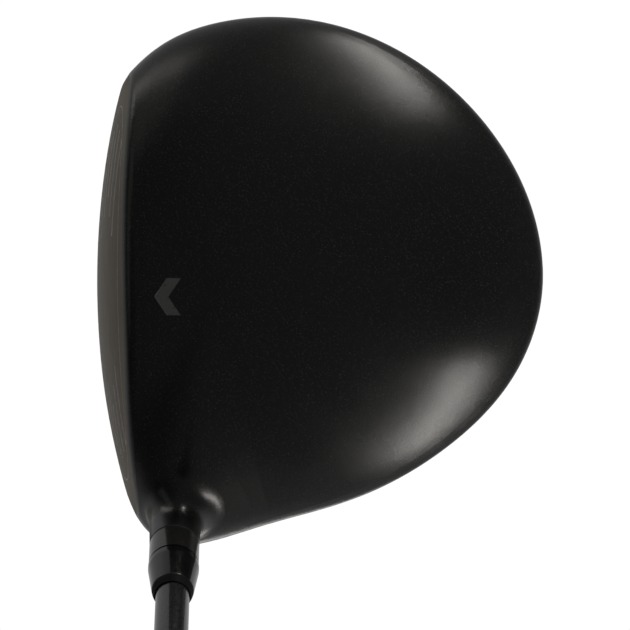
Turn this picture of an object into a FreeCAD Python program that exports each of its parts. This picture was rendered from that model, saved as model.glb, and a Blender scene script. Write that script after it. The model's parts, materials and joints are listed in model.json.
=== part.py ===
"""A right-handed golf driver as an assembly of its separate pieces, in millimetres.

The club stands as a player sets it down. The sole's flat keel pad rests on the ground at the origin, +Z is
up, +X runs from the face to the back of the head and +Y from the heel to the toe. The shaft rises towards -Y
at the lie angle. Two inclined axes carry the turned pieces. The hosel axis starts where it meets the ground,
so a height along it is the distance from the ground. The shaft axis crosses it at the hosel rim, tilted by
the loft sleeve's bore.
"""

import FreeCAD, Part
import math
import os

import Sketcher
from FreeCAD import Rotation, Vector

doc = FreeCAD.newDocument("golf_driver")
sheet = doc.addObject("Spreadsheet::Sheet", "sizes")

SIZES = [
    # the head's freeform surface
    ("skirt_height", 26.0, "height of the widest contour above the ground at the origin"),
    ("skirt_slope", 0.07, "rise of the widest contour towards the back"),
    ("skirt_band", 5.0, "height of the upright band round the widest contour"),
    ("crown_rise", 34.4, "crown top above the widest contour"),
    ("crown_flatness", 0.8, "share of parabola in the crown's section, the rest is ellipse"),
    ("sole_drop", 26.3, "lowest point of the sole below the widest contour"),
    ("sole_flatness", 0.85, "share of parabola in the sole's section"),
    ("crown_front_fullness", 1.6, "added exponent of the crown's section towards the face"),
    ("sole_front_fullness", 0.8, "added exponent of the sole's section towards the face"),
    ("toe_fullness", 0.5, "added exponent of the section towards the toe"),
    # face
    ("loft_angle", 9.5, "face loft in degrees"),
    ("face_radius", 225.0, "bulge and roll radius of the face"),
    ("face_front", 28.1, "face centre ahead of the origin"),
    ("face_height", 31.0, "face centre above the ground"),
    ("face_toe_shift", 4.4, "face centre towards the toe"),
    ("face_thickness", 2.9, "face plate thickness"),
    ("face_rounding", 4.0, "edge radius round the face"),
    ("insert_half_length", 48.0, "half length of the face plate's oval outline"),
    ("insert_half_height", 20.5, "half height of the face plate's oval outline"),
    ("insert_shift", 1.0, "oval's centre towards the toe"),
    ("insert_height", 30.0, "oval's centre above the ground"),
    ("groove_pitch", 5.2, "spacing of the score lines"),
    ("groove_width", 0.7, "width of a score line"),
    ("groove_depth", 0.3, "depth of a score line"),
    ("groove_shift", -1.0, "middle of the score lines towards the toe"),
    ("groove_gap", 26.7, "score lines level with the face centre start this far from their middle"),
    ("gap_taper", 5.0, "each score line above or below starts nearer the middle by this"),
    ("toe_reach", 45.2, "score lines level with the face centre end this far towards the toe"),
    ("heel_reach", 40.0, "score lines level with the face centre end this far towards the heel"),
    ("reach_taper", 1.8, "each score line above or below ends nearer the middle by this"),
    ("weld_gap", 0.03, "gap between the face plate and its opening"),
    # shells
    ("chassis_wall", 1.0, "wall of the cast chassis"),
    ("shell_wall", 0.9, "wall of the crown and sole panels"),
    ("bond_line", 0.08, "glue gap under the panels and round the sole panels"),
    ("crown_seam", 0.02, "gap round the crown's edge, closed by paint"),
    ("ledge_depth", 1.8, "underside of the bonding ledges below the outer skin"),
    ("ledge_width", 5.0, "width of the bonding ledges"),
    ("ledge_margin", 1.5, "reach of the ledges beyond the panels' outlines"),
    ("crown_setback", 4.0, "crown's front edge behind the face surface"),
    ("crown_seam_lift", 6.0, "crown seam above the widest contour"),
    ("sole_seam_drop", 7.0, "sole panel seam below the widest contour"),
    ("spine_half", 14.0, "half width of the sole's spine between the panels"),
    ("toe_panel_front", 2.0, "front edge of the toe panel behind the origin"),
    ("heel_panel_front", 14.0, "front edge of the heel panel behind the origin"),
    ("panel_corner", 12.0, "corner radius of the sole panels"),
    ("rib_height", 6.0, "top of the spine's ribs below the outer skin"),
    ("rib_start", -16.0, "front end of the ribs"),
    ("rib_length", 68.0, "length of the ribs"),
    ("rib_width", 1.2, "width of a rib"),
    ("rib_offset", 7.0, "ribs either side of the target line"),
    ("rooting", 0.5, "depth below the outer skin at which ribs, tube and port boss start"),
    ("neck_clearing", 19.0, "radius round the hosel axis that the crown leaves free"),
    # alignment mark and rattle glue
    ("mark_tip", -14.5, "point of the alignment mark"),
    ("mark_sweep", 3.2, "how far its arms sweep back"),
    ("mark_stroke", 3.6, "stroke of its arms along the target line"),
    ("mark_half", 4.7, "half its width across the target line"),
    ("mark_depth", 0.14, "thickness of the mark's film"),
    ("mark_play", 0.02, "play round the film"),
    ("glue_x", -13.0, "rattle glue behind the origin"),
    ("glue_y", 21.0, "rattle glue towards the toe"),
    ("glue_top", 5.4, "top of the rattle glue above the ground"),
    ("glue_ball_radius", 16.0, "radius of the glue pad's dome"),
    # hosel and neck
    ("hosel_x", -9.6, "hosel axis ahead of or behind the origin"),
    ("hosel_y", -33.0, "where the hosel axis meets the ground"),
    ("hosel_lie", 60.0, "lie angle of the hosel bore in degrees"),
    ("hosel_rim", 60.0, "hosel rim along the hosel axis"),
    ("hosel_root", 24.0, "lower end of the tapered neck"),
    ("neck_rim_radius", 6.3, "neck radius at the rim"),
    ("rim_edge", 0.3, "chamfer of the hosel rim and of the collar on it"),
    ("neck_root_radius", 7.3, "neck radius at its root and of the tube inside the head"),
    ("neck_blend", 8.0, "fillet between neck and crown"),
    ("hosel_bore", 5.35, "hosel bore radius"),
    ("web_top", 24.0, "floor of the hosel bore"),
    ("web_bottom", 20.0, "underside of the web that carries the hosel screw"),
    ("screw_passage", 2.75, "hole through the web"),
    ("access_bore", 4.6, "tool access bore radius"),
    ("key_height", 6.0, "height of the sleeve's key teeth"),
    ("key_teeth", 8, "number of key teeth"),
    ("key_root", 4.3, "sleeve radius between the key teeth"),
    ("key_tip", 5.1, "radius over the key teeth"),
    ("key_width", 1.6, "width of a key tooth"),
    ("key_play", 0.08, "play all round the key teeth"),
    ("key_room", 0.4, "free height over the key teeth"),
    # loft sleeve, ferrule and shaft
    ("sleeve_play", 0.05, "radial play of the sleeve in the hosel"),
    ("sleeve_foot_gap", 0.2, "gap under the sleeve"),
    ("seat_gap", 0.06, "hairline between rim, sleeve collar and ferrule"),
    ("collar_height", 8.8, "exposed collar of the loft sleeve"),
    ("collar_radius", 6.3, "radius of the exposed collar"),
    ("bore_tilt", 1.0, "tilt of the sleeve's shaft bore in degrees"),
    ("tip_radius", 4.255, "shaft tip radius, 0.335 in across"),
    ("tip_play", 0.06, "glue gap round the shaft tip"),
    ("tip_depth", 19.4, "shaft tip below the hosel rim"),
    ("tip_clear", 0.3, "free length of the sleeve's bore under the tip plug"),
    ("tapped_depth", 12.0, "depth of the sleeve's tapped hole"),
    ("ferrule_body", 11.0, "length of the ferrule's long taper"),
    ("ferrule_band", 2.2, "height at which the ferrule starts to taper"),
    ("ferrule_nose", 2.8, "length of the ferrule's rounded nose"),
    ("ferrule_lip", 0.3, "thickness of the nose's end"),
    ("seat_edge", 0.5, "softened edge at the ferrule's foot"),
    ("ferrule_curve", 4.0, "rounding where the ferrule's outline turns"),
    ("ferrule_belly", 6.4, "largest radius of the ferrule"),
    ("ferrule_end", 5.35, "radius where the nose starts"),
    ("club_length", 1155.7, "45.5 in from the ground to the end of the grip, along the shaft"),
    ("tip_parallel", 90.0, "parallel length at the tip"),
    ("tip_wall", 1.3, "shaft wall at the tip"),
    ("butt_radius", 7.62, "shaft butt radius, 0.600 in across"),
    ("butt_wall", 1.0, "shaft wall at the butt"),
    ("butt_parallel", 350.0, "parallel length at the butt"),
    ("plug_length", 14.0, "length of the swing-weight plug in the tip"),
    ("plug_flange", 1.2, "thickness of the plug's flange under the tip"),
    ("plug_play", 0.04, "play round the swing-weight plug"),
    ("butt_gap", 0.3, "gap between the shaft's butt and the end cap"),
    # grip
    ("grip_length", 266.7, "10.5 in overall length of the grip"),
    ("tape_thickness", 0.18, "double-sided tape under the grip"),
    ("tape_start", 6.0, "tape starts this far inside the grip's mouth"),
    ("tape_end", 8.0, "tape ends this far below the end cap"),
    ("grip_play", 0.02, "gap between tape, shaft and grip"),
    ("mouth_radius", 9.7, "grip radius at its mouth"),
    ("hand_radius", 11.6, "grip radius under the top hand"),
    ("hand_drop", 50.0, "that radius is measured this far below the end"),
    ("roll_radius", 13.6, "radius of the rolled end"),
    ("roll_length", 7.0, "length of the rolled end"),
    ("cap_height", 5.0, "thickness of the end cap"),
    ("cap_radius", 10.4, "radius of the end cap"),
    ("vent_radius", 1.6, "vent hole radius in the end cap"),
    ("vent_edge", 0.5, "chamfer of the vent hole"),
    ("bead_length", 6.0, "length of the bead at the grip's mouth"),
    ("groove_sink", 0.5, "depth of the groove behind the bead"),
    # screws and the sole weight
    ("screw_radius", 2.5, "M5 thread outside radius"),
    ("screw_play", 0.05, "radial play in the tapped holes"),
    ("screw_reach", 15.4, "hosel screw length under its head"),
    ("head_radius", 4.2, "radius of both screw heads"),
    ("head_height", 4.4, "height of the hosel screw's head"),
    ("washer_height", 0.5, "hosel washer thickness"),
    ("drive_radius", 1.72, "radius of the lobed socket's core"),
    ("lobe_radius", 0.48, "radius of each socket lobe"),
    ("drive_depth", 2.6, "depth of the lobed sockets"),
    ("washer_play", 0.1, "radial play of the washer round the screw"),
    ("retainer_height", 1.3, "height of the ring that keeps the hosel screw captive"),
    ("retainer_gap", 0.01, "glue gap round that ring"),
    ("retainer_drop", 0.4, "gap between that ring and the screw's head"),
    ("weight_x", 64.0, "weight port centre behind the origin"),
    ("weight_y", 1.0, "weight port centre towards the toe"),
    ("weight_z", 17.2, "weight port mouth above the ground"),
    ("weight_lean", 26.5, "lean of the weight's axis from straight down, towards the back"),
    ("puck_radius", 8.5, "weight radius"),
    ("puck_height", 6.4, "weight height"),
    ("puck_recess", 0.9, "weight below the port's mouth"),
    ("puck_play", 0.12, "play round the weight"),
    ("port_radius", 11.4, "radius of the port's boss"),
    ("port_floor", 2.4, "floor thickness under the weight"),
    ("stem_radius", 5.0, "radius of the tapped stem"),
    ("stem_height", 8.0, "height of the tapped stem above the port's floor"),
    ("gasket_height", 0.6, "room for the rubber gasket under the weight"),
    ("gasket_play", 0.025, "gap on either side of the gasket"),
    ("gasket_inset", 0.3, "gasket smaller than the weight all round"),
    ("weight_screw_reach", 11.0, "weight screw length under its head"),
    ("weight_head_height", 3.4, "height of the weight screw's head"),
    ("head_play", 0.15, "radial play of the weight screw's head in the weight"),
    ("head_gap", 0.3, "gap under the weight screw's head"),
    ("small_edge", 0.6, "chamfer of screw tips, caps and rims"),
    # tools that cut
    ("head_span", 260.0, "a block wider than the head"),
    ("run_out", 20.0, "run of a cutting tool past the surface it leaves"),
    ("overlap", 1.0, "overlap of tools that meet"),
]

# Widest contour of the head seen from above. The front runs on ahead of the face, which cuts it off.
CONTOUR = [
    (84.2, 7.0), (80.6, 25.0), (69.0, 45.0), (48.0, 62.8), (26.2, 70.8), (4.0, 71.0), (-13.0, 65.0),
    (-23.8, 55.0), (-34.0, 38.0), (-41.0, 18.0), (-43.5, -3.0), (-40.0, -25.0), (-25.6, -44.5),
    (-18.6, -58.2), (-12.0, -63.4), (-3.0, -63.2), (12.1, -58.8), (36.7, -51.4), (59.5, -38.6), (76.8, -20.2),
]
CONTOUR_STATIONS = 64
SECTION_STATIONS = 48
PROFILE_STEPS = 240
SEAM_QUARTERS = 4
# steps of the score lines below and above the face centre
SCORE_RANKS = range(-3, 3)

for row, (alias, value, note) in enumerate(SIZES, start=1):
    sheet.set(f"A{row}", alias)
    sheet.set(f"B{row}", str(value))
    sheet.set(f"C{row}", note)
    sheet.setAlias(f"B{row}", alias)
doc.recompute()


def size(alias):
    """The value of a sheet cell."""
    return float(sheet.get(alias))


def bind(thing, path, expression):
    """Ties a property to an expression in which a bare word is a cell of the sheet."""
    aliases = sorted((alias for alias, _, _ in SIZES), key=len, reverse=True)
    text = expression
    for index, alias in enumerate(aliases):
        text = text.replace(alias, f"@{index}@")
    for index, alias in enumerate(aliases):
        text = text.replace(f"@{index}@", f"sizes.{alias}")
    thing.setExpression(path, text)


# ---------------------------------------------------------------- frames


def stand_on_hosel_axis(piece):
    """Places a piece so that its own Z is the height along the hosel axis."""
    bind(piece, "Placement.Base.x", "hosel_x")
    bind(piece, "Placement.Base.y", "hosel_y")
    piece.setExpression("Placement.Rotation.Axis.x", "1")
    piece.setExpression("Placement.Rotation.Axis.z", "0")
    bind(piece, "Placement.Rotation.Angle", "90 - hosel_lie")


def stand_on_shaft_axis(piece):
    """Places a piece so that its own Z runs up the shaft from the hosel rim."""
    bind(piece, "Placement.Base.x", "hosel_x")
    bind(piece, "Placement.Base.y", "hosel_y - hosel_rim * cos(hosel_lie * 1 deg)")
    bind(piece, "Placement.Base.z", "hosel_rim * sin(hosel_lie * 1 deg)")
    piece.setExpression("Placement.Rotation.Axis.x", "1")
    piece.setExpression("Placement.Rotation.Axis.z", "0")
    bind(piece, "Placement.Rotation.Angle", "90 - hosel_lie + bore_tilt")


def stand_on_weight_axis(piece):
    """Places a piece so that its own Z points into the head from the weight port's mouth."""
    bind(piece, "Placement.Base.x", "weight_x")
    bind(piece, "Placement.Base.y", "weight_y")
    bind(piece, "Placement.Base.z", "weight_z")
    piece.setExpression("Placement.Rotation.Axis.y", "-1")
    piece.setExpression("Placement.Rotation.Axis.z", "0")
    bind(piece, "Placement.Rotation.Angle", "weight_lean")


# ---------------------------------------------------------------- building blocks


def new_sketch(body, name, plane):
    sketch = body.newObject("Sketcher::SketchObject", name)
    origin = next(part for part in body.Origin.OriginFeatures if part.Role == plane)
    sketch.AttachmentSupport = (origin, [""])
    sketch.MapMode = "FlatFace"
    return sketch


def tie_point(sketch, geometry, position, across, up):
    """Fixes a sketch point at two expressions. "0" puts it on an axis."""
    for kind, axis, expression in (("DistanceX", -2, across), ("DistanceY", -1, up)):
        if expression == "0":
            sketch.addConstraint(Sketcher.Constraint("PointOnObject", geometry, position, axis))
            continue
        value = worth(expression)
        index = sketch.addConstraint(Sketcher.Constraint(kind, -1, 1, geometry, position, value))
        bind(sketch, f"Constraints[{index}]", expression)


def worth(expression):
    """The number that an expression in sheet cells comes to."""
    cells = {alias: size(alias) for alias, _, _ in SIZES}
    total = 0.0
    sign = 1.0
    for token in expression.replace("+", " + ").replace("-", " - ").split():
        if token in "+-":
            sign = 1.0 if token == "+" else -1.0
        else:
            total += sign * math.prod(cells.get(part, None) or float(part) for part in token.split("*"))
    return total


def draw_corners(sketch, corners):
    """A closed outline of straight lines through corners given as (across, up) expressions."""
    points = [Vector(worth(across), worth(up), 0) for across, up in corners]
    count = len(points)
    for index in range(count):
        sketch.addGeometry(Part.LineSegment(points[index], points[(index + 1) % count]), False)
    for index in range(count):
        sketch.addConstraint(Sketcher.Constraint("Coincident", index, 2, (index + 1) % count, 1))
    for index, (across, up) in enumerate(corners):
        tie_point(sketch, index, 1, across, up)


def draw_circle(sketch, across, up, radius):
    centre = Vector(worth(across), worth(up), 0)
    sketch.addGeometry(Part.Circle(centre, Vector(0, 0, 1), worth(radius)), False)
    index = sketch.addConstraint(Sketcher.Constraint("Radius", 0, worth(radius)))
    bind(sketch, f"Constraints[{index}]", radius)
    tie_point(sketch, 0, 3, across, up)


def turned_body(label, corners):
    """A body turned about its own Z from (radius, height) corners."""
    body = doc.addObject("PartDesign::Body", label)
    sketch = new_sketch(body, label + "_section", "XZ_Plane")
    draw_corners(sketch, corners)
    turn = body.newObject("PartDesign::Revolution", label + "_turn")
    turn.Profile = sketch
    turn.ReferenceAxis = (sketch, ["V_Axis"])
    turn.Angle = 360
    body.Tip = turn
    doc.recompute()
    return body


def softened(body, corners, radius):
    """Rounds the circular edges of a turned body at (radius, height) corners."""
    sharp = body.Tip
    wanted = [(worth(across), worth(up)) for across, up in corners]
    edges = []
    for number, edge in enumerate(sharp.Shape.Edges, start=1):
        circle = edge.Curve
        if circle.TypeId == "Part::GeomCircle" and any(
                math.hypot(circle.Radius - across, circle.Center.z - up) < 0.001 for across, up in wanted):
            edges.append(f"Edge{number}")
    fillet = body.newObject("PartDesign::Fillet", body.Name + "_soft")
    fillet.Base = (sharp, edges)
    bind(fillet, "Radius", radius)
    body.Tip = fillet
    doc.recompute()
    return body


def repeat_round(body, feature, count_expression):
    """Repeats a feature evenly round the body's own Z."""
    pattern = body.newObject("PartDesign::PolarPattern", feature.Name + "_round")
    pattern.Originals = [feature]
    axis = next(part for part in body.Origin.OriginFeatures if part.Role == "Z_Axis")
    pattern.Axis = (axis, [""])
    pattern.Angle = 360
    pattern.Occurrences = int(worth(count_expression))
    body.Tip = pattern
    doc.recompute()


def sunk(body, sketch, depth, upward, name):
    """A pocket from the body's XY plane, upward or downward, checked to remove material."""
    before = body.Shape.Volume
    pocket = body.newObject("PartDesign::Pocket", name)
    pocket.Profile = sketch
    pocket.Reversed = upward
    bind(pocket, "Length", depth)
    body.Tip = pocket
    doc.recompute()
    if body.Shape.Volume >= before:
        raise RuntimeError(f"{name} cut nothing")
    return pocket


def lobed_socket(body, name):
    """A six-lobed drive socket sunk upward into the body's lower face at its XY plane."""
    core = new_sketch(body, name + "_core", "XY_Plane")
    draw_circle(core, "0", "0", "drive_radius")
    sunk(body, core, "drive_depth", True, name + "_core_pocket")
    lobe = new_sketch(body, name + "_lobe", "XY_Plane")
    draw_circle(lobe, "drive_radius", "0", "lobe_radius")
    repeat_round(body, sunk(body, lobe, "drive_depth", True, name + "_lobe_pocket"), "6")


def toothed(body, name, low, high, outer, foot, height):
    """Key teeth round the body's Z. Each runs out from near the axis, between two edges beside a radius."""
    tooth = new_sketch(body, name + "_outline", "XY_Plane")
    draw_corners(tooth, [("0.5*key_root", low), (outer, low), (outer, high), ("0.5*key_root", high)])
    bind(tooth, "AttachmentOffset.Base.z", foot)
    block = body.newObject("PartDesign::Pad", name + "_block")
    block.Profile = tooth
    bind(block, "Length", height)
    body.Tip = block
    doc.recompute()
    repeat_round(body, block, "key_teeth")


def primitive(kind, name, **sizes):
    """A Part primitive whose sizes are expressions."""
    made = doc.addObject("Part::" + kind, name)
    for prop, expression in sizes.items():
        bind(made, prop, expression)
    return made


def solid_feature(name, shape):
    feature = doc.addObject("Part::Feature", name)
    feature.Shape = shape
    return feature


def cut(name, base, tool):
    result = doc.addObject("Part::Cut", name)
    result.Base = base
    result.Tool = tool
    return result


def common(name, first, second):
    result = doc.addObject("Part::Common", name)
    result.Base = first
    result.Tool = second
    return result


def joined(name, *pieces):
    result = doc.addObject("Part::MultiFuse", name)
    result.Shapes = list(pieces)
    return result


# ---------------------------------------------------------------- the head's freeform surface


def contour_points():
    """Evenly spaced points of the widest contour, each on a smooth closed curve through CONTOUR."""
    curve = Part.BSplineCurve()
    curve.interpolate([Vector(x, y, 0) for x, y in CONTOUR], PeriodicFlag=True)
    start = curve.FirstParameter
    step = curve.length() / CONTOUR_STATIONS
    return [curve.value(curve.parameterAtDistance(step * i, start)) for i in range(CONTOUR_STATIONS)]


def half_section(reach, height, flatness, fullness):
    """(share of reach, height) points from the pole out to the skirt band and down to its middle."""
    half_band = size("skirt_band") / 2
    exponent = 2 + fullness
    points = []
    for step in range(PROFILE_STEPS + 1):
        angle = math.pi / 2 * step / PROFILE_STEPS
        out = math.sin(angle) ** (2 / exponent)
        ellipse = max(0.0, math.cos(angle)) ** (2 / exponent)
        rise = (1 - flatness) * ellipse + flatness * (1 - out * out)
        points.append((out, half_band + (height - half_band) * rise))
    points.append((1.0, 0.0))
    lengths = [0.0]
    for (out_a, up_a), (out_b, up_b) in zip(points, points[1:]):
        lengths.append(lengths[-1] + math.hypot((out_b - out_a) * reach, up_b - up_a))
    return points, lengths


def at_share(points, lengths, share):
    """The point at a share of a section's length."""
    target = share * lengths[-1]
    for index in range(1, len(lengths)):
        if lengths[index] >= target:
            span = lengths[index] - lengths[index - 1]
            part = (target - lengths[index - 1]) / span if span else 0.0
            (out_a, up_a), (out_b, up_b) = points[index - 1], points[index]
            return out_a + part * (out_b - out_a), up_a + part * (up_b - up_a)
    return points[-1]


def meridian(rim):
    """Points from the crown's pole over the skirt to the sole's pole, below one point of the contour."""
    reach = math.hypot(rim.x, rim.y)
    frontness = ((1 - rim.x / reach) / 2) ** 2
    toe_fullness = size("toe_fullness") * max(0.0, rim.y / reach) ** 2
    crown = half_section(reach, size("crown_rise"), size("crown_flatness") * (1 - frontness),
                         size("crown_front_fullness") * frontness + toe_fullness)
    sole = half_section(reach, size("sole_drop"), size("sole_flatness") * (1 - frontness),
                        size("sole_front_fullness") * frontness + toe_fullness)
    half = SECTION_STATIONS // 2
    # stations crowd towards the skirt, where the section turns
    shares = [0.4 * i / half + 0.6 * math.sin(math.pi / 2 * i / half) for i in range(half + 1)]
    upper = [at_share(*crown, share) for share in shares]
    lower = [(out, -up) for out, up in (at_share(*sole, share) for share in reversed(shares[:-1]))]
    middle = size("skirt_height")
    slope = size("skirt_slope")
    # the crown tilts with the widest contour, and the sole stays level under its pole
    return [Vector(rim.x * out, rim.y * out, middle + slope * rim.x * out * (1 if up >= 0 else out) + up)
            for out, up in upper + lower]


def inset_grid(grid, depth):
    """The grid moved inward along the surface's normals."""
    count = len(grid)
    last = len(grid[0]) - 1
    slope = size("skirt_slope")
    moved = []
    for i in range(count):
        row = []
        for j in range(last + 1):
            if j == 0:
                normal = Vector(-slope, 0, 1)
            elif j == last:
                normal = Vector(0, 0, -1)
            else:
                along = grid[(i + 1) % count][j] - grid[i - 1][j]
                down = grid[i][j + 1] - grid[i][j - 1]
                normal = down.cross(along)
            row.append(grid[i][j] - normal.normalize() * depth)
        moved.append(row)
    return moved


def head_form(depth):
    """The head's closed form at a depth below its skin, uncut by the face, as a solid of eight patches."""
    grid = inset_grid([meridian(rim) for rim in contour_points()], depth)
    grid.append(grid[0])
    surface = Part.BSplineSurface()
    surface.interpolate(grid)
    u_knots = surface.getUKnots()
    v_knots = surface.getVKnots()
    u_cuts = [u_knots[(len(u_knots) - 1) * i // SEAM_QUARTERS] for i in range(SEAM_QUARTERS + 1)]
    v_cuts = [v_knots[0], v_knots[len(v_knots) // 2], v_knots[-1]]
    faces = []
    for u_low, u_high in zip(u_cuts, u_cuts[1:]):
        for v_low, v_high in zip(v_cuts, v_cuts[1:]):
            patch = surface.copy()
            patch.segment(u_low, u_high, v_low, v_high)
            faces.append(patch.toShape())
    shell = Part.makeShell(faces)
    shell.sewShape()
    return Part.Solid(shell.Shells[0])


def face_ball(name, depth):
    """The sphere of bulge and roll, at a depth below the face surface. Its inside is behind the face."""
    ball = primitive("Sphere", name, Radius=f"face_radius - ({depth})")
    bind(ball, "Placement.Base.x", "-face_front + face_radius * cos(loft_angle * 1 deg)")
    bind(ball, "Placement.Base.y", "face_toe_shift")
    bind(ball, "Placement.Base.z", "face_height - face_radius * sin(loft_angle * 1 deg)")
    return ball


def rounded(name, base, edges, radius):
    fillet = doc.addObject("Part::Fillet", name)
    fillet.Base = base
    fillet.Edges = [(index, size(radius), size(radius)) for index in edges]
    return fillet


def sphere_edges(shape):
    """Numbers of the edges that border the shape's spherical face."""
    ball = next(face for face in shape.Faces if face.Surface.TypeId == "Part::GeomSphere")
    wanted = [edge.hashCode() for edge in ball.Edges if edge.Length > 0.5]
    return [number for number, edge in enumerate(shape.Edges, start=1) if edge.hashCode() in wanted]


def neck_root_edges(shape):
    """Numbers of the edges where the neck leaves the crown."""
    lie = math.radians(size("hosel_lie"))
    foot = Vector(size("hosel_x"), size("hosel_y"), 0)
    axis = Vector(0, -math.cos(lie), math.sin(lie))
    least = size("neck_rim_radius") - 0.05
    most = size("neck_root_radius") + 0.2
    found = []
    for number, edge in enumerate(shape.Edges, start=1):
        span = edge.LastParameter - edge.FirstParameter
        samples = [edge.valueAt(edge.FirstParameter + span * share) for share in (0.1, 0.5, 0.9)]
        near = all(least < (p - foot).cross(axis).Length < most for p in samples)
        below_rim = all((p - foot).dot(axis) < size("hosel_rim") - 2 * size("rim_edge") for p in samples)
        along_neck = abs((samples[2] - samples[0]).dot(axis)) > 0.9 * edge.Length
        if near and below_rim and not along_neck:
            found.append(number)
    return found


def outer_skin():
    """The head's whole outside: form, face, rounded face edge, keel pad and blended neck."""
    faced = common("faced_form", forms["outer"], face_ball("face_surface", "0"))
    doc.recompute()
    soft_face = rounded("soft_face", faced, sphere_edges(faced.Shape), "face_rounding")
    below = primitive("Box", "below_ground", Length="head_span", Width="head_span", Height="run_out")
    bind(below, "Placement.Base.x", "-head_span / 2")
    bind(below, "Placement.Base.y", "-head_span / 2")
    bind(below, "Placement.Base.z", "-run_out")
    grounded = cut("grounded_form", soft_face, below)
    neck = primitive("Cone", "neck", Radius1="neck_root_radius", Radius2="neck_rim_radius",
                     Height="hosel_rim - rim_edge - hosel_root")
    lip = primitive("Cone", "neck_lip", Radius1="neck_rim_radius", Radius2="neck_rim_radius - rim_edge",
                    Height="rim_edge")
    with_neck = joined("form_with_neck", grounded, on_axis(neck, "hosel_root"),
                       on_axis(lip, "hosel_rim - rim_edge"))
    doc.recompute()
    return rounded("outer_skin", with_neck, neck_root_edges(with_neck.Shape), "neck_blend")


def on_axis(piece, height):
    """Stands a primitive on the hosel axis at a height along it."""
    stand_on_hosel_axis(piece)
    bind(piece, "Placement.Base.y", f"hosel_y - ({height}) * cos(hosel_lie * 1 deg)")
    bind(piece, "Placement.Base.z", f"({height}) * sin(hosel_lie * 1 deg)")
    return piece


def off_weight_axis(piece, height):
    """Stands a primitive on the weight axis at a depth inside the port's mouth."""
    stand_on_weight_axis(piece)
    bind(piece, "Placement.Base.x", f"weight_x - ({height}) * sin(weight_lean * 1 deg)")
    bind(piece, "Placement.Base.z", f"weight_z + ({height}) * cos(weight_lean * 1 deg)")
    return piece


# ---------------------------------------------------------------- zones of the crown and sole panels


def tilted_slab(name, lift, above):
    """Everything above or below a plane parallel to the widest contour, lift above it."""
    slab = primitive("Box", name, Length="head_span", Width="head_span", Height="head_span")
    slab.setExpression("Placement.Rotation.Axis.y", "-1")
    slab.setExpression("Placement.Rotation.Axis.z", "0")
    bind(slab, "Placement.Rotation.Angle", "atan(skirt_slope)")
    foot = f"skirt_height + ({lift}) - head_span / 2 * skirt_slope" + ("" if above else " - head_span")
    bind(slab, "Placement.Base.x", "-head_span / 2")
    bind(slab, "Placement.Base.y", "-head_span / 2")
    bind(slab, "Placement.Base.z", foot)
    return slab


def column_on_hosel(name, radius):
    """A cylinder round the hosel axis, longer than the head is high."""
    column = primitive("Cylinder", name, Radius=radius, Height="2 * hosel_rim")
    return on_axis(column, "-run_out")


def crown_zone(name, grow):
    """Space that the crown panel takes up, grown outward all round its outline."""
    high = tilted_slab(name + "_slab", f"crown_seam_lift - ({grow})", True)
    behind_face = common(name + "_behind_face", high, face_ball(name + "_front", f"crown_setback - ({grow})"))
    return cut(name, behind_face, column_on_hosel(name + "_neck", f"neck_clearing - ({grow})"))


def sole_zone(name, side, grow):
    """Space that a sole panel takes up: side is 1 towards the toe and -1 towards the heel."""
    front = "toe_panel_front" if side > 0 else "heel_panel_front"
    low = tilted_slab(name + "_slab", f"-sole_seam_drop + ({grow})", False)
    block = primitive("Box", name + "_block", Length="head_span", Width="head_span", Height="head_span")
    spine_edge = f"spine_half - ({grow})" if side > 0 else f"-spine_half + ({grow}) - head_span"
    bind(block, "Placement.Base.x", f"{front} - ({grow})")
    bind(block, "Placement.Base.y", spine_edge)
    bind(block, "Placement.Base.z", "-run_out")
    doc.recompute()
    corner = block.Placement.Base + Vector(0, 0 if side > 0 else block.Width.Value, 0)
    upright = [number for number, edge in enumerate(block.Shape.Edges, start=1)
               if all(math.hypot(v.X - corner.x, v.Y - corner.y) < 0.01 for v in edge.Vertexes)]
    soft = rounded(name + "_soft", block, upright, "panel_corner")
    return common(name, low, soft)


# ---------------------------------------------------------------- chassis


def chassis_shell(skin):
    """The thin casting: skin less its cavity, the panels' recesses and openings, and the face opening."""
    deep = common("cavity_deep", forms["ledge_depth"], face_ball("cavity_deep_front", "face_thickness"))
    wide = common("cavity_wide", forms["chassis_wall"], face_ball("cavity_wide_front", "face_thickness"))
    kept = joined("kept_for_ledges", crown_zone("crown_ledge_zone", "ledge_margin"),
                  sole_zone("toe_ledge_zone", 1, "ledge_margin"),
                  sole_zone("heel_ledge_zone", -1, "ledge_margin"))
    shell = cut("shell_deep", skin, deep)
    shell = cut("shell_thin", shell, cut("cavity_thin", wide, kept))
    shell = cut("shell_open_face", shell, face_oval("face_opening", "weld_gap"))
    zones = {
        "crown": (crown_zone, "crown_seam"),
        "toe": (lambda name, grow: sole_zone(name, 1, grow), "bond_line"),
        "heel": (lambda name, grow: sole_zone(name, -1, grow), "bond_line"),
    }
    for which, (zone, seam) in zones.items():
        shell = cut(f"shell_{which}_open", shell, zone(which + "_opening", "-ledge_width"))
        recess = cut(which + "_recess", zone(which + "_recess_zone", seam), forms["panel_bed"])
        shell = cut(f"shell_{which}_recessed", shell, recess)
    return shell


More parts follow.
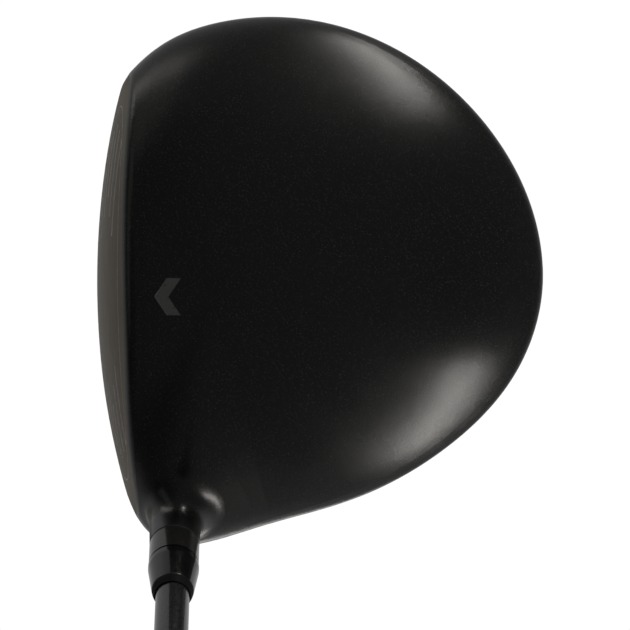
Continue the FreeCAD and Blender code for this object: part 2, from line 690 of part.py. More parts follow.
def face_oval(name, grow):
    """A prism along the face's normal inside the face plate's oval outline."""
    oval = doc.addObject("Part::Ellipse", name + "_outline")
    bind(oval, "MajorRadius", f"insert_half_length + {grow}")
    bind(oval, "MinorRadius", f"insert_half_height + {grow}")
    # the ellipse's own X is laid along Y, and its normal along the face's normal
    oval.Placement.Rotation = Rotation(Vector(0, 0, 1), 90)
    prism = doc.addObject("Part::Extrusion", name)
    prism.Base = oval
    prism.DirMode = "Custom"
    prism.Dir = Vector(0, 0, 1)
    bind(prism, "LengthFwd", "run_out")
    prism.Solid = True
    prism.setExpression("Placement.Rotation.Axis.y", "-1")
    prism.setExpression("Placement.Rotation.Axis.z", "0")
    bind(prism, "Placement.Rotation.Angle", "90 - loft_angle")
    bind(prism, "Placement.Base.x", "-face_front + run_out / 2 * cos(loft_angle * 1 deg)")
    bind(prism, "Placement.Base.y", "insert_shift")
    bind(prism, "Placement.Base.z", "insert_height - run_out / 2 * sin(loft_angle * 1 deg)")
    return prism


def spine_rib(name, y):
    """A stiffening rib along the sole's spine, from the front to the weight port."""
    plate = primitive("Box", name + "_plate", Length="rib_length", Width="rib_width", Height="skirt_height")
    bind(plate, "Placement.Base.x", "rib_start")
    bind(plate, "Placement.Base.y", f"{y} - rib_width / 2")
    return cut(name, common(name + "_full", forms["rooting"], plate), forms["rib_height"])


def chassis(skin):
    """The cast body with its hosel tube, weight port and ribs."""
    floor = "puck_recess + puck_height + gasket_height"
    tube = common("hosel_tube", column_on_hosel("hosel_column", "neck_root_radius"), forms["rooting"])
    column = primitive("Cylinder", "port_column", Radius="port_radius",
                       Height=f"run_out + {floor} + port_floor")
    boss = common("port_boss", off_weight_axis(column, "-run_out"), forms["rooting"])
    stem = primitive("Cylinder", "port_stem", Radius="stem_radius", Height="stem_height")
    off_weight_axis(stem, floor)
    ribs = [spine_rib("rib_toe", "rib_offset"), spine_rib("rib_heel", "-rib_offset")]
    solid = joined("cast_blank", chassis_shell(skin), tube, boss, stem, *ribs)

    socket = turned_body("hosel_socket", [
        ("0", "web_top"), ("key_root + key_play", "web_top"),
        ("key_root + key_play", "web_top + key_height"), ("hosel_bore", "web_top + key_height"),
        ("hosel_bore", "hosel_rim + run_out"), ("0", "hosel_rim + run_out"),
    ])
    toothed(socket, "key_slot", "-0.5*key_width - key_play", "0.5*key_width + key_play",
            "key_tip + key_play", "web_top", "key_height")
    stand_on_hosel_axis(socket)
    passage = primitive("Cylinder", "screw_hole", Radius="screw_passage",
                        Height="web_top - web_bottom + 2 * overlap")
    access = primitive("Cylinder", "access_hole", Radius="access_bore", Height="web_bottom + run_out")
    port = primitive("Cylinder", "port_hole", Radius="puck_radius + puck_play", Height=f"run_out + {floor}")
    tapped = primitive("Cylinder", "port_thread", Radius="screw_radius + screw_play",
                       Height="stem_height + 2 * overlap")
    bores = joined("bores", socket, on_axis(passage, "web_bottom - overlap"), on_axis(access, "-run_out"),
                   off_weight_axis(port, "-run_out"), off_weight_axis(tapped, f"{floor} - overlap"))
    return cut("chassis", solid, bores)


# ---------------------------------------------------------------- face plate


def score_line(name, side, rank):
    """A groove's bar across one side of the face, rank steps above the face centre."""
    reach = "toe_reach" if side > 0 else "heel_reach"
    start = f"(groove_gap - {abs(rank)} * gap_taper)"
    end = f"({reach} - {abs(rank)} * reach_taper)"
    bar = primitive("Box", name + "_bar", Length="run_out", Width=f"{end} - {start}", Height="groove_width")
    bar.setExpression("Placement.Rotation.Axis.y", "1")
    bar.setExpression("Placement.Rotation.Axis.z", "0")
    bind(bar, "Placement.Rotation.Angle", "loft_angle")
    rise = f"({rank} * groove_pitch - groove_width / 2)"
    low_end = f"+ {start}" if side > 0 else f"- {end}"
    ahead = "run_out / 2 * cos(loft_angle * 1 deg)"
    above = "run_out / 2 * sin(loft_angle * 1 deg)"
    bind(bar, "Placement.Base.x", f"-face_front - {ahead} + {rise} * sin(loft_angle * 1 deg)")
    bind(bar, "Placement.Base.y", f"groove_shift {low_end}")
    bind(bar, "Placement.Base.z", f"face_height + {above} + {rise} * cos(loft_angle * 1 deg)")
    return bar


def face_plate():
    """The forged face, set into the chassis, with its score lines."""
    blank = common("face_blank", face_oval("face_prism", "0"), face_ball("face_front_surface", "0"))
    plate = cut("face_lens", blank, face_ball("face_back_surface", "face_thickness"))
    bars = [score_line(f"score_{where}_{index}", side, rank)
            for where, side in (("toe", 1), ("heel", -1)) for index, rank in enumerate(SCORE_RANKS)]
    grooves = cut("score_grooves", joined("score_bars", *bars), face_ball("score_floor", "groove_depth"))
    return cut("face_plate", plate, grooves)


# ---------------------------------------------------------------- panels


def panel(name, skin, zone):
    """A thin panel that fills a zone of the head's skin."""
    return cut(name, common(name + "_full", skin, zone), forms["shell_wall"])


def chevron(name, grow):
    """Prism over the alignment mark: one arrow head that points at the face."""
    body = doc.addObject("PartDesign::Body", name)
    sketch = new_sketch(body, name + "_outline", "XY_Plane")
    bind(sketch, "AttachmentOffset.Base.z", "skirt_height + crown_seam_lift")
    reach = f"mark_half + {grow}"
    front = f"mark_tip + mark_sweep - {grow}"
    back = f"mark_tip + mark_sweep + mark_stroke + {grow}"
    # the two points move a little further than the sides when the outline grows
    draw_corners(sketch, [
        (f"mark_tip - 1.4*{grow}", "0"), (front, f"-1*mark_half - {grow}"), (back, f"-1*mark_half - {grow}"),
        (f"mark_tip + mark_stroke + 1.4*{grow}", "0"), (back, reach), (front, reach),
    ])
    prism = body.newObject("PartDesign::Pad", name + "_prism")
    prism.Profile = sketch
    bind(prism, "Length", "crown_rise")
    body.Tip = prism
    return body


def rattle_glue():
    """Pad of soft glue inside the sole that catches loose particles."""
    ball = primitive("Sphere", "glue_ball", Radius="glue_ball_radius")
    bind(ball, "Placement.Base.x", "glue_x")
    bind(ball, "Placement.Base.y", "glue_y")
    bind(ball, "Placement.Base.z", "glue_top - glue_ball_radius")
    return common("rattle_glue", forms["glue_bed"], ball)


# ---------------------------------------------------------------- turned pieces


def turned_on(label, corners, stand, height):
    """A turned body stood on one of the axes at a height along it."""
    return stand(turned_body(label, corners), height)


def on_shaft(piece, height):
    """Stands a piece on the shaft axis at a height above the hosel rim."""
    stand_on_shaft_axis(piece)
    lie = "((hosel_lie - bore_tilt) * 1 deg)"
    bind(piece, "Placement.Base.y", f"hosel_y - hosel_rim * cos(hosel_lie * 1 deg) - ({height}) * cos{lie}")
    bind(piece, "Placement.Base.z", f"hosel_rim * sin(hosel_lie * 1 deg) + ({height}) * sin{lie}")
    return piece


def screw(label, head, reach, stand, height):
    """A cap screw with a lobed socket, its head towards the tool."""
    body = turned_body(label, [
        ("0", "0"), ("head_radius - small_edge", "0"), ("head_radius", "small_edge"), ("head_radius", head),
        ("screw_radius", head), ("screw_radius", f"{head} + {reach} - small_edge"),
        ("screw_radius - small_edge", f"{head} + {reach}"), ("0", f"{head} + {reach}"),
    ])
    lobed_socket(body, label + "_socket")
    return stand(body, height)


def ring(label, inner, outer, height, stand, foot):
    """A flat ring."""
    return turned_on(label, [(inner, "0"), (outer, "0"), (outer, height), (inner, height)], stand, foot)


def loft_sleeve():
    """The keyed sleeve that carries the shaft, with its exposed collar and tilted shaft bore."""
    seat = "hosel_rim + seat_gap - web_top - sleeve_foot_gap"
    top = "hosel_rim + collar_height + overlap - web_top - sleeve_foot_gap"
    blank = turned_body("sleeve_blank", [
        ("0", "0"), ("key_root", "0"), ("key_root", "key_height"),
        ("hosel_bore - sleeve_play", "key_height + key_room"), ("hosel_bore - sleeve_play", seat),
        ("collar_radius - rim_edge", seat), ("collar_radius", f"{seat} + rim_edge"),
        ("collar_radius", top), ("0", top),
    ])
    toothed(blank, "key_tooth", "-0.5*key_width", "0.5*key_width", "key_tip", "0", "key_height")
    on_axis(blank, "web_top + sleeve_foot_gap")
    thread = primitive("Cylinder", "sleeve_thread", Radius="screw_radius + screw_play",
                       Height="tapped_depth + overlap")
    bore = primitive("Cylinder", "sleeve_bore", Radius="tip_radius + tip_play",
                     Height="tip_depth + plug_flange + tip_clear + run_out")
    # the collar's top is square to the shaft
    trim = primitive("Cylinder", "sleeve_trim", Radius="run_out", Height="run_out")
    holes = joined("sleeve_holes", on_axis(thread, "web_top + sleeve_foot_gap - overlap"),
                   on_shaft(bore, "-tip_depth - plug_flange - tip_clear"), on_shaft(trim, "collar_height"))
    return cut("loft_sleeve", blank, holes)


# ---------------------------------------------------------------- assembly

FORM_DEPTHS = {
    "outer": 0.0,
    "mark_top": size("mark_play"),
    "mark_floor": size("mark_depth"),
    "mark_bed": size("mark_depth") + size("mark_play"),
    "rooting": size("rooting"),
    "shell_wall": size("shell_wall"),
    "panel_bed": size("shell_wall") + size("bond_line"),
    "chassis_wall": size("chassis_wall"),
    "glue_bed": size("chassis_wall") + size("bond_line"),
    "ledge_depth": size("ledge_depth"),
    "rib_height": size("rib_height"),
}
forms = {name: solid_feature("form_" + name, head_form(depth)) for name, depth in FORM_DEPTHS.items()}

skin = outer_skin()
chassis(skin)
face_plate()
crown = panel("crown_skin", skin, crown_zone("crown_shell_zone", "0"))
bed = cut("mark_bed", chevron("mark_bed_prism", "mark_play"), forms["mark_bed"])
cut("crown_shell", crown, bed)
film = common("mark_full", forms["mark_top"], chevron("mark_prism", "0"))
cut("alignment_mark", film, forms["mark_floor"])
panel("sole_panel_toe", skin, sole_zone("toe_panel_zone", 1, "0"))
panel("sole_panel_heel", skin, sole_zone("heel_panel_zone", -1, "0"))
rattle_glue()

screw("hosel_screw", "head_height", "screw_reach", on_axis, "web_bottom - washer_height - head_height")
ring("hosel_washer", "screw_radius + washer_play", "head_radius", "washer_height",
     on_axis, "web_bottom - washer_height")
ring("screw_retainer", "drive_radius + 3*lobe_radius", "access_bore - retainer_gap", "retainer_height",
     on_axis, "web_bottom - washer_height - head_height - retainer_drop - retainer_height")
loft_sleeve()

nose = [
    ("ferrule_belly", "ferrule_band"), ("ferrule_end", "ferrule_body"),
    ("ferrule_end - 0.4*seat_edge", "ferrule_body + 0.4*ferrule_nose"),
]
ferrule = turned_body("ferrule", [
    ("tip_radius + tip_play", "0"), ("ferrule_belly - 0.5*seat_edge", "0"), ("ferrule_belly", "seat_edge"),
    *nose, ("tip_radius + tip_play + ferrule_lip", "ferrule_body + ferrule_nose"),
    ("tip_radius + tip_play", "ferrule_body + ferrule_nose"),
])
on_shaft(softened(ferrule, nose, "ferrule_curve"), "collar_height + seat_gap")

butt_end = "tip_depth + club_length - hosel_rim - cap_height - butt_gap"
turned_on("shaft", [
    ("tip_radius - tip_wall", "0"), ("tip_radius", "0"), ("tip_radius", "tip_parallel"),
    ("butt_radius", f"{butt_end} - butt_parallel"), ("butt_radius", butt_end),
    ("butt_radius - butt_wall", butt_end), ("butt_radius - butt_wall", f"{butt_end} - butt_parallel"),
    ("tip_radius - tip_wall", "tip_parallel"),
], on_shaft, "-tip_depth")

turned_on("tip_plug", [
    ("0", "0"), ("tip_radius", "0"), ("tip_radius", "plug_flange"),
    ("tip_radius - tip_wall - plug_play", "plug_flange"),
    ("tip_radius - tip_wall - plug_play", "plug_flange + plug_length - small_edge"),
    ("tip_radius - tip_wall - small_edge", "plug_flange + plug_length"), ("0", "plug_flange + plug_length"),
], on_shaft, "-tip_depth - plug_flange - plug_play")

ring("grip_tape", "butt_radius + grip_play", "butt_radius + grip_play + tape_thickness",
     "grip_length - cap_height - tape_start - tape_end",
     on_shaft, "club_length - hosel_rim - grip_length + tape_start")

grip_bore = "butt_radius + 2*grip_play + tape_thickness"
# a rolled bead and a groove behind it at the mouth, a long taper, then the rolled end over the cap
turned_on("grip", [
    (grip_bore, "0"), ("mouth_radius - small_edge", "0"), ("mouth_radius", "small_edge"),
    ("mouth_radius", "bead_length"), ("mouth_radius - groove_sink", "bead_length + groove_sink"),
    ("mouth_radius - groove_sink", "bead_length + 3*groove_sink"),
    ("mouth_radius", "bead_length + 4*groove_sink"),
    ("hand_radius", "grip_length - hand_drop"), ("hand_radius + groove_sink", "grip_length - 2*roll_length"),
    ("roll_radius - 0.5*small_edge", "grip_length - roll_length"),
    ("roll_radius", "grip_length - 0.7*roll_length"),
    ("roll_radius - 0.5*small_edge", "grip_length - 0.3*roll_length"),
    ("roll_radius - 0.2*roll_length", "grip_length"),
    ("cap_radius + grip_play", "grip_length"), ("cap_radius + grip_play", "grip_length - cap_height"),
    (grip_bore, "grip_length - cap_height"),
], on_shaft, "club_length - hosel_rim - grip_length")

turned_on("grip_cap", [
    ("vent_radius", "0"), ("cap_radius", "0"), ("cap_radius", "cap_height - small_edge"),
    ("cap_radius - small_edge", "cap_height"), ("vent_radius + vent_edge", "cap_height"),
    ("vent_radius", "cap_height - vent_edge"),
], on_shaft, "club_length - hosel_rim - cap_height")

counterbore = "head_radius + head_play"
turned_on("weight_puck", [
    (counterbore, "0"), ("puck_radius - small_edge", "0"), ("puck_radius", "small_edge"),
    ("puck_radius", "puck_height"), ("screw_passage", "puck_height"),
    ("screw_passage", "weight_head_height + head_gap"), (counterbore, "weight_head_height + head_gap"),
], off_weight_axis, "puck_recess")
ring("weight_gasket", "screw_passage", "puck_radius - gasket_inset", "gasket_height - 2*gasket_play",
     off_weight_axis, "puck_recess + puck_height + gasket_play")
screw("weight_screw", "weight_head_height", "weight_screw_reach", off_weight_axis, "puck_recess + head_gap")

PIECES = [
    "chassis", "face_plate", "crown_shell", "alignment_mark", "sole_panel_toe", "sole_panel_heel",
    "rattle_glue", "hosel_screw", "hosel_washer", "screw_retainer", "loft_sleeve", "ferrule", "shaft",
    "tip_plug", "grip_tape", "grip", "grip_cap", "weight_puck", "weight_gasket", "weight_screw",
]

doc.recompute()
os.makedirs("parts", exist_ok=True)
for thing in doc.Objects:
    if "Invalid" in thing.State or "Error" in thing.State:
        raise RuntimeError(f"{thing.Label} is {thing.State}")
for label in PIECES:
    shape = doc.getObjectsByLabel(label)[0].Shape
    if shape.isNull() or not shape.isValid():
        raise RuntimeError(f"{label} has no valid shape")
    if len(shape.Solids) != 1:
        raise RuntimeError(f"{label} has {len(shape.Solids)} solids")
    shape.exportStep(f"parts/{label}.step")
print("wrote", len(PIECES), "pieces")
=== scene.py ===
"""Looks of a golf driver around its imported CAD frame.

Every CAD node gets a procedural finish. Two pieces are built here in place of plain CAD solids: the moulded grip
and the film of the alignment mark. The studio and the camera come last. Lengths are in metres.
"""

import json
import math

import bpy
import numpy as np
from mathutils import Matrix, Quaternion, Vector


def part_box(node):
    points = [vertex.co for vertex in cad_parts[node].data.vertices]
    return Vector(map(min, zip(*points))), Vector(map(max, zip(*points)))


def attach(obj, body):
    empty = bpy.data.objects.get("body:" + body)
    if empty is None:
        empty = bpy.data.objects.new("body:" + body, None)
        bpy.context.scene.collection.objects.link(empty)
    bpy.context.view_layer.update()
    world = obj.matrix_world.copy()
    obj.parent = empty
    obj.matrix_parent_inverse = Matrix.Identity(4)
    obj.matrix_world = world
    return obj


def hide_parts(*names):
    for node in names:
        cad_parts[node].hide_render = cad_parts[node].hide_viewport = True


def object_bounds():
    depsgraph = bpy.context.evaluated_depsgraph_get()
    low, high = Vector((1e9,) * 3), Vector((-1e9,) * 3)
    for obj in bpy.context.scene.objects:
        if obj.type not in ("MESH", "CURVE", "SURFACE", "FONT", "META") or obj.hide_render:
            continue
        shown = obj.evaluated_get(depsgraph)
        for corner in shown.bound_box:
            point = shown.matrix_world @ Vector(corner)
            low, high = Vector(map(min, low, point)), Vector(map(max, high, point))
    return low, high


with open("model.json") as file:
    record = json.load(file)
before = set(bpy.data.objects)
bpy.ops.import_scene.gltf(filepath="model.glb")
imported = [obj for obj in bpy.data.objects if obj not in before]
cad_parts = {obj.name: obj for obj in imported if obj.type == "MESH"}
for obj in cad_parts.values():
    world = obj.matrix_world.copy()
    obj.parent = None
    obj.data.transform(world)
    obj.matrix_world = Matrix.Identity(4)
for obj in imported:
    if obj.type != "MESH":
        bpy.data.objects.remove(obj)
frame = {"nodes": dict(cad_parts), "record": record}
cad_low, cad_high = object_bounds()
nodes = frame["nodes"]
mounts = {mount["name"]: mount for mount in frame["record"]["mounts"]}
MM = 0.001
# the wrench mount is on the hosel axis, which leaves the head at the chassis' low heel corner
HOSEL_AXIS = -Vector(mounts["hosel_wrench"]["axis"])
HOSEL_FOOT = Vector(mounts["hosel_wrench"]["pos_m"])
HOSEL_RIM = HOSEL_FOOT + HOSEL_AXIS * ((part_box("chassis")[0].y - HOSEL_FOOT.y) / HOSEL_AXIS.y)


# ---------------------------------------------------------------- shader building


class Finish:
    """A node material on one Principled shader, with short calls for the nodes it is built from."""

    def __init__(self, name, **inputs):
        self.material = bpy.data.materials.new(name)
        self.material.use_nodes = True
        self.tree = self.material.node_tree
        self.tree.nodes.clear()
        out = self.tree.nodes.new("ShaderNodeOutputMaterial")
        self.shader = self.tree.nodes.new("ShaderNodeBsdfPrincipled")
        self.link(self.shader.outputs[0], out.inputs["Surface"])
        self.place = self.node("ShaderNodeTexCoord").outputs["Object"]
        for key, value in inputs.items():
            self.put(self.shader, key.replace("_", " "), value)

    def node(self, kind, **settings):
        made = self.tree.nodes.new(kind)
        for key, value in settings.items():
            setattr(made, key, value)
        return made

    def link(self, source, target):
        self.tree.links.new(source, target)

    def put(self, node, key, value):
        """Links a socket to an input, or stores a plain value there."""
        target = node.inputs[key]
        if isinstance(value, bpy.types.NodeSocket):
            self.link(value, target)
        elif target.type == "RGBA" and not hasattr(value, "__len__"):
            target.default_value = (value, value, value, 1.0)
        elif target.type == "RGBA" and len(value) == 3:
            target.default_value = (*value, 1.0)
        else:
            target.default_value = value

    def set(self, **inputs):
        for key, value in inputs.items():
            self.put(self.shader, key.replace("_", " "), value)
        return self

    def math(self, operation, first, second=0.0):
        made = self.node("ShaderNodeMath", operation=operation)
        self.put(made, 0, first)
        self.put(made, 1, second)
        return made.outputs[0]

    def times(self, first, second):
        return self.math("MULTIPLY", first, second)

    def plus(self, first, second):
        return self.math("ADD", first, second)

    def stretched(self, scale, turn=(0.0, 0.0, 0.0)):
        """Object coordinates turned and scaled, for grain that runs one way."""
        made = self.node("ShaderNodeMapping")
        self.put(made, "Vector", self.place)
        self.put(made, "Rotation", turn)
        self.put(made, "Scale", scale)
        return made.outputs[0]

    def noise(self, scale, detail=2.0, rough=0.5, where=None):
        made = self.node("ShaderNodeTexNoise")
        self.put(made, "Vector", where or self.place)
        self.put(made, "Scale", scale)
        self.put(made, "Detail", detail)
        self.put(made, "Roughness", rough)
        return made.outputs["Fac"]

    def cells(self, scale):
        made = self.node("ShaderNodeTexVoronoi")
        self.put(made, "Vector", self.place)
        self.put(made, "Scale", scale)
        return made.outputs["Distance"]

    def ramp(self, value, low, high, out_low, out_high):
        """Maps low..high to out_low..out_high, clamped."""
        made = self.node("ShaderNodeMapRange", interpolation_type="SMOOTHSTEP")
        for key, number in (("Value", value), ("From Min", low), ("From Max", high),
                            ("To Min", out_low), ("To Max", out_high)):
            self.put(made, key, number)
        return made.outputs[0]

    def blend(self, share, first, second):
        made = self.node("ShaderNodeMix", data_type="RGBA")
        self.put(made, 0, share)
        self.put(made, 6, first)
        self.put(made, 7, second)
        return made.outputs[2]

    def part(self, vector, axis):
        """One coordinate of a vector: 0, 1 or 2 for X, Y or Z."""
        split = self.node("ShaderNodeSeparateXYZ")
        self.link(vector, split.inputs[0])
        return split.outputs[axis]

    def shaded(self, base, shade):
        """A colour times a brightness."""
        made = self.node("ShaderNodeVectorMath", operation="SCALE")
        made.inputs[0].default_value = base
        self.put(made, "Scale", shade)
        return made.outputs[0]

    def near(self, point, reach, fade):
        """1 within reach of a point, falling to 0 over fade."""
        away = self.node("ShaderNodeVectorMath", operation="DISTANCE")
        self.link(self.place, away.inputs[0])
        away.inputs[1].default_value = point
        return self.ramp(away.outputs["Value"], reach, reach + fade, 1.0, 0.0)

    def bump(self, height, depth, edge=None):
        """Bump whose height is in metres times depth, over edges rounded to a radius."""
        made = self.node("ShaderNodeBump")
        self.put(made, "Height", height)
        self.put(made, "Distance", depth)
        self.put(made, "Strength", 1.0)
        if edge is not None:
            self.link(self.rounded_normal(edge), made.inputs["Normal"])
        self.put(self.shader, "Normal", made.outputs[0])
        return self

    def rounded_normal(self, radius):
        """The surface's normal as if its edges were rounded to a radius."""
        made = self.node("ShaderNodeBevel", samples=6)
        self.put(made, "Radius", radius)
        return made.outputs[0]

    def true_normal(self):
        return self.node("ShaderNodeNewGeometry").outputs["Normal"]

    def edge_wear(self, radius):
        """1 on edges and 0 on flats, from how far a rounded normal leans from the true one."""
        dot = self.node("ShaderNodeVectorMath", operation="DOT_PRODUCT")
        self.link(self.rounded_normal(radius), dot.inputs[0])
        self.link(self.true_normal(), dot.inputs[1])
        return self.ramp(dot.outputs["Value"], 0.9, 0.995, 1.0, 0.0)


def brighter(colour, factor):
    return tuple(factor * part for part in colour)


# ---------------------------------------------------------------- finishes

WHITE = (1.0, 1.0, 1.0)
FACE_TONE = (0.062, 0.060, 0.057)
FACE_SHEEN = (0.72, 0.68, 0.62)
BARE_METAL = (0.20, 0.19, 0.18)
# colour of the paint's flecks as multiples of the paint's own grey
FLECK_WARMTH = (26.0, 24.0, 21.0)


def satin_black(name, base, rough, worn):
    """Matte sprayed black with the fine warm speckle and orange peel of a club head's coat."""
    made = Finish(name)
    speckle = made.ramp(made.cells(2400.0), 0.06, 0.40, 1.0, 0.0)
    grain = made.noise(5200.0, 3.0, 0.7)
    fleck = made.noise(2900.0, 2.0, 0.6)
    flake = made.times(speckle, made.ramp(fleck, 0.44, 0.60, 0.0, 1.0))
    paint = made.blend(flake, base, brighter(FLECK_WARMTH, base))
    cloud = made.noise(22.0, 4.0, 0.6)
    coat_rough = made.ramp(cloud, 0.3, 0.7, rough - 0.03, rough + 0.05)
    soft_edge = None
    if worn:
        paint, coat_rough, soft_edge = worn_coat(made, paint, coat_rough)
    made.set(Base_Color=paint, Roughness=coat_rough)
    height = made.plus(made.times(grain, 0.5), made.noise(900.0, 2.0))
    height = made.plus(height, made.times(fleck, 2.2))
    return made.bump(height, 0.006 * MM, soft_edge).material


def worn_coat(made, paint, coat_rough):
    """Adds the body's own traits to its coat: returns colour, roughness and the radius of its edges."""
    scuff_height = 2.6 * MM
    sole_height = 22.0 * MM
    sole_fade = 3.0 * MM
    neck_reach = 12.0 * MM
    # the sole is scuffed by the ground and its edges are rubbed bare
    streaks = made.noise(420.0, 4.0, 0.7, made.stretched((0.10, 1.0, 1.0)))
    height = made.part(made.place, 2)
    low = made.ramp(height, 0.0, scuff_height, 1.0, 0.0)
    sole_side = made.ramp(height, sole_height, sole_height + sole_fade, 1.0, 0.0)
    scuff = made.times(low, made.ramp(streaks, 0.54, 0.64, 0.0, 1.0))
    rubbed = made.times(made.ramp(made.noise(160.0), 0.5, 0.65, 0.0, 0.5), sole_side)
    bare = made.math("MAXIMUM", scuff, made.times(made.edge_wear(0.35 * MM), rubbed))
    paint = made.blend(made.times(bare, 0.75), paint, BARE_METAL)
    coat_rough = made.math("SUBTRACT", coat_rough, made.times(bare, 0.12))
    # the neck's thicker coat is a little rougher and shinier
    neck = made.near(HOSEL_RIM, neck_reach, neck_reach)
    coat_rough = made.plus(coat_rough, made.times(neck, 0.09))
    made.set(Specular_IOR_Level=made.plus(0.5, made.times(neck, 0.5)))
    # the frame around the face plate looks forward and carries the face's own finish
    front = made.ramp(made.part(made.true_normal(), 0), -0.955, -0.86, 1.0, 0.0)
    paint = made.blend(front, paint, FACE_TONE)
    made.set(Metallic=front, Specular_Tint=made.blend(front, WHITE, FACE_SHEEN))
    coat_rough = made.plus(coat_rough, made.times(front, 0.10))
    return paint, coat_rough, made.times(sole_side, 0.25 * MM)


def brushed_metal(name, base, rough, along):
    """Metal with fine brush lines that run along one axis, lighter where it is grooved: rubbed bare there, with a
    painted highlight on the groove edges.
    """
    made = Finish(name, Metallic=1.0)
    # edges and score lines: partly rubbed metal, partly painted highlight; this mask lightens their colour and
    # whitens their tint
    rubbed = made.edge_wear(0.4 * MM)
    made.set(Specular_Tint=made.blend(rubbed, FACE_SHEEN, WHITE))
    scale = [1.0, 1.0, 1.0]
    scale[along] = 0.02
    lines = made.noise(2600.0, 3.0, 0.65, made.stretched(tuple(scale)))
    patches = made.noise(45.0, 3.0)
    tone = made.ramp(lines, 0.25, 0.75, 0.72, 1.25)
    shade = made.times(tone, made.ramp(patches, 0.3, 0.7, 0.92, 1.08))
    # a lightened edge is this many times lighter than the dark coat: rubbed metal and a painted highlight
    rubbed_highlight_shade = 14.0
    made.set(Base_Color=made.shaded(base, made.plus(shade, made.times(rubbed, rubbed_highlight_shade))),
             Roughness=made.ramp(lines, 0.2, 0.8, rough - 0.07, rough + 0.08))
    return made.bump(lines, 0.004 * MM, 0.2 * MM).material


def turned_metal(name, base, rough):
    """Lathe-turned metal: fine tool marks, a little oil staining and bright edges."""
    made = Finish(name, Metallic=1.0)
    marks = made.noise(3000.0, 2.0, 0.6)
    stain = made.ramp(made.noise(120.0, 4.0), 0.35, 0.7, 0.8, 1.1)
    bright = made.times(made.edge_wear(0.25 * MM), 0.5)
    made.set(Base_Color=made.shaded(base, made.plus(stain, bright)),
             Roughness=made.ramp(marks, 0.3, 0.7, rough - 0.06, rough + 0.08))
    return made.bump(marks, 0.004 * MM, 0.2 * MM).material


def carbon_weave(name, tow, dark_tow, painted_lit_tow, coat):
    """Clear-coated twill weave: over-two under-two tows, with the light they catch in turn painted into their colour
    as a painted sheen.
    """
    made = Finish(name, Coat_Weight=coat, Coat_Roughness=0.12)
    bias = (0.0, 0.0, math.radians(45))
    turned = made.stretched((1.0, 1.0, 1.0), bias)
    across = made.math("DIVIDE", made.part(turned, 0), tow)
    along = made.math("DIVIDE", made.part(turned, 1), tow)
    step = made.plus(made.math("FLOOR", across), made.math("FLOOR", along))
    over = made.math("LESS_THAN", made.math("FLOORED_MODULO", step, 4.0), 2.0)
    under = made.math("SUBTRACT", 1.0, over)
    bend_a = made.math("PINGPONG", across, 0.5)
    bend_b = made.math("PINGPONG", along, 0.5)
    crown = made.plus(made.times(over, bend_a), made.times(under, bend_b))
    fibres_a = made.noise(2200.0, 2.0, 0.6, made.stretched((1.0, 0.03, 1.0), bias))
    fibres_b = made.noise(2200.0, 2.0, 0.6, made.stretched((0.03, 1.0, 1.0), bias))
    fibres = made.blend(over, fibres_b, fibres_a)
    # painted sheen: the tows on top are painted lighter than the others, as if they caught the light
    tone = made.blend(over, dark_tow, painted_lit_tow)
    made.set(Base_Color=made.blend(made.ramp(fibres, 0.3, 0.7, 0.0, 0.4), tone, (0.0, 0.0, 0.0)),
             Roughness=made.ramp(crown, 0.0, 0.5, 0.5, 0.32))
    return made.bump(crown, 0.05 * MM).material


def speckled_anodise(name, base, fleck):
    """Glossy dark anodised aluminium with light flecks, as printed on a loft sleeve's collar."""
    made = Finish(name, Coat_Weight=0.5, Coat_Roughness=0.06, Metallic=0.6)
    flecks = made.ramp(made.cells(2300.0), 0.10, 0.30, 1.0, 0.0)
    mask = made.times(flecks, made.ramp(made.noise(3600.0, 2.0), 0.45, 0.6, 0.0, 1.0))
    lines = made.noise(2400.0, 2.0, 0.6, made.stretched((1.0, 1.0, 0.08)))
    shade = made.blend(made.ramp(lines, 0.3, 0.7, 0.0, 0.35), base, brighter(base, 1.6))
    made.set(Base_Color=made.blend(made.times(mask, 0.5), shade, fleck),
             Roughness=made.ramp(lines, 0.2, 0.8, 0.17, 0.25))
    return made.bump(lines, 0.0015 * MM, 0.12 * MM).material


def polished_plastic(name, base, rough, coat, dull=None):
    """Buffed black plastic with hair-fine buffing marks and a faint haze.

    A dull spot, given as (point, reach), was never buffed and stays matte.
    """
    made = Finish(name, Coat_Roughness=0.05)
    marks = made.noise(1900.0, 3.0, 0.7, made.stretched((1.0, 1.0, 0.05)))
    haze = made.ramp(made.noise(260.0, 3.0), 0.4, 0.7, 0.0, 0.5)
    gloss = made.ramp(marks, 0.3, 0.7, rough - 0.03, rough + 0.06)
    if dull:
        point, reach = dull
        matte = made.near(point, reach, 0.3 * MM)
        gloss = made.math("MAXIMUM", gloss, made.times(matte, 0.6))
        coat = made.times(made.math("SUBTRACT", 1.0, matte), coat)
        made.set(Specular_IOR_Level=made.math("SUBTRACT", 0.5, made.times(matte, 0.4)))
    made.set(Base_Color=made.blend(haze, base, brighter(base, 2.0)), Roughness=gloss, Coat_Weight=coat)
    return made.bump(marks, 0.0015 * MM, 0.15 * MM).material


def wound_graphite(name, base, axis):
    """Clear-coated carbon tube: fine filaments wound along the tube under gloss."""
    made = Finish(name, Coat_Weight=0.8, Coat_Roughness=0.06, Metallic=0.35)
    across = Vector((1.0, 0.0, 0.0))
    side = axis.cross(across).normalized()
    turn = tuple(Matrix((across, side, axis)).to_euler("XYZ"))
    filaments = made.noise(2600.0, 3.0, 0.65, made.stretched((1.0, 1.0, 0.03), turn))
    bands = made.noise(30.0, 2.0, 0.5, made.stretched((0.2, 0.2, 1.0), turn))
    shade = made.times(made.ramp(filaments, 0.3, 0.7, 0.6, 1.7), made.ramp(bands, 0.35, 0.65, 0.9, 1.1))
    made.set(Base_Color=made.shaded(base, shade), Roughness=made.ramp(filaments, 0.2, 0.8, 0.25, 0.4))
    return made.bump(filaments, 0.002 * MM).material


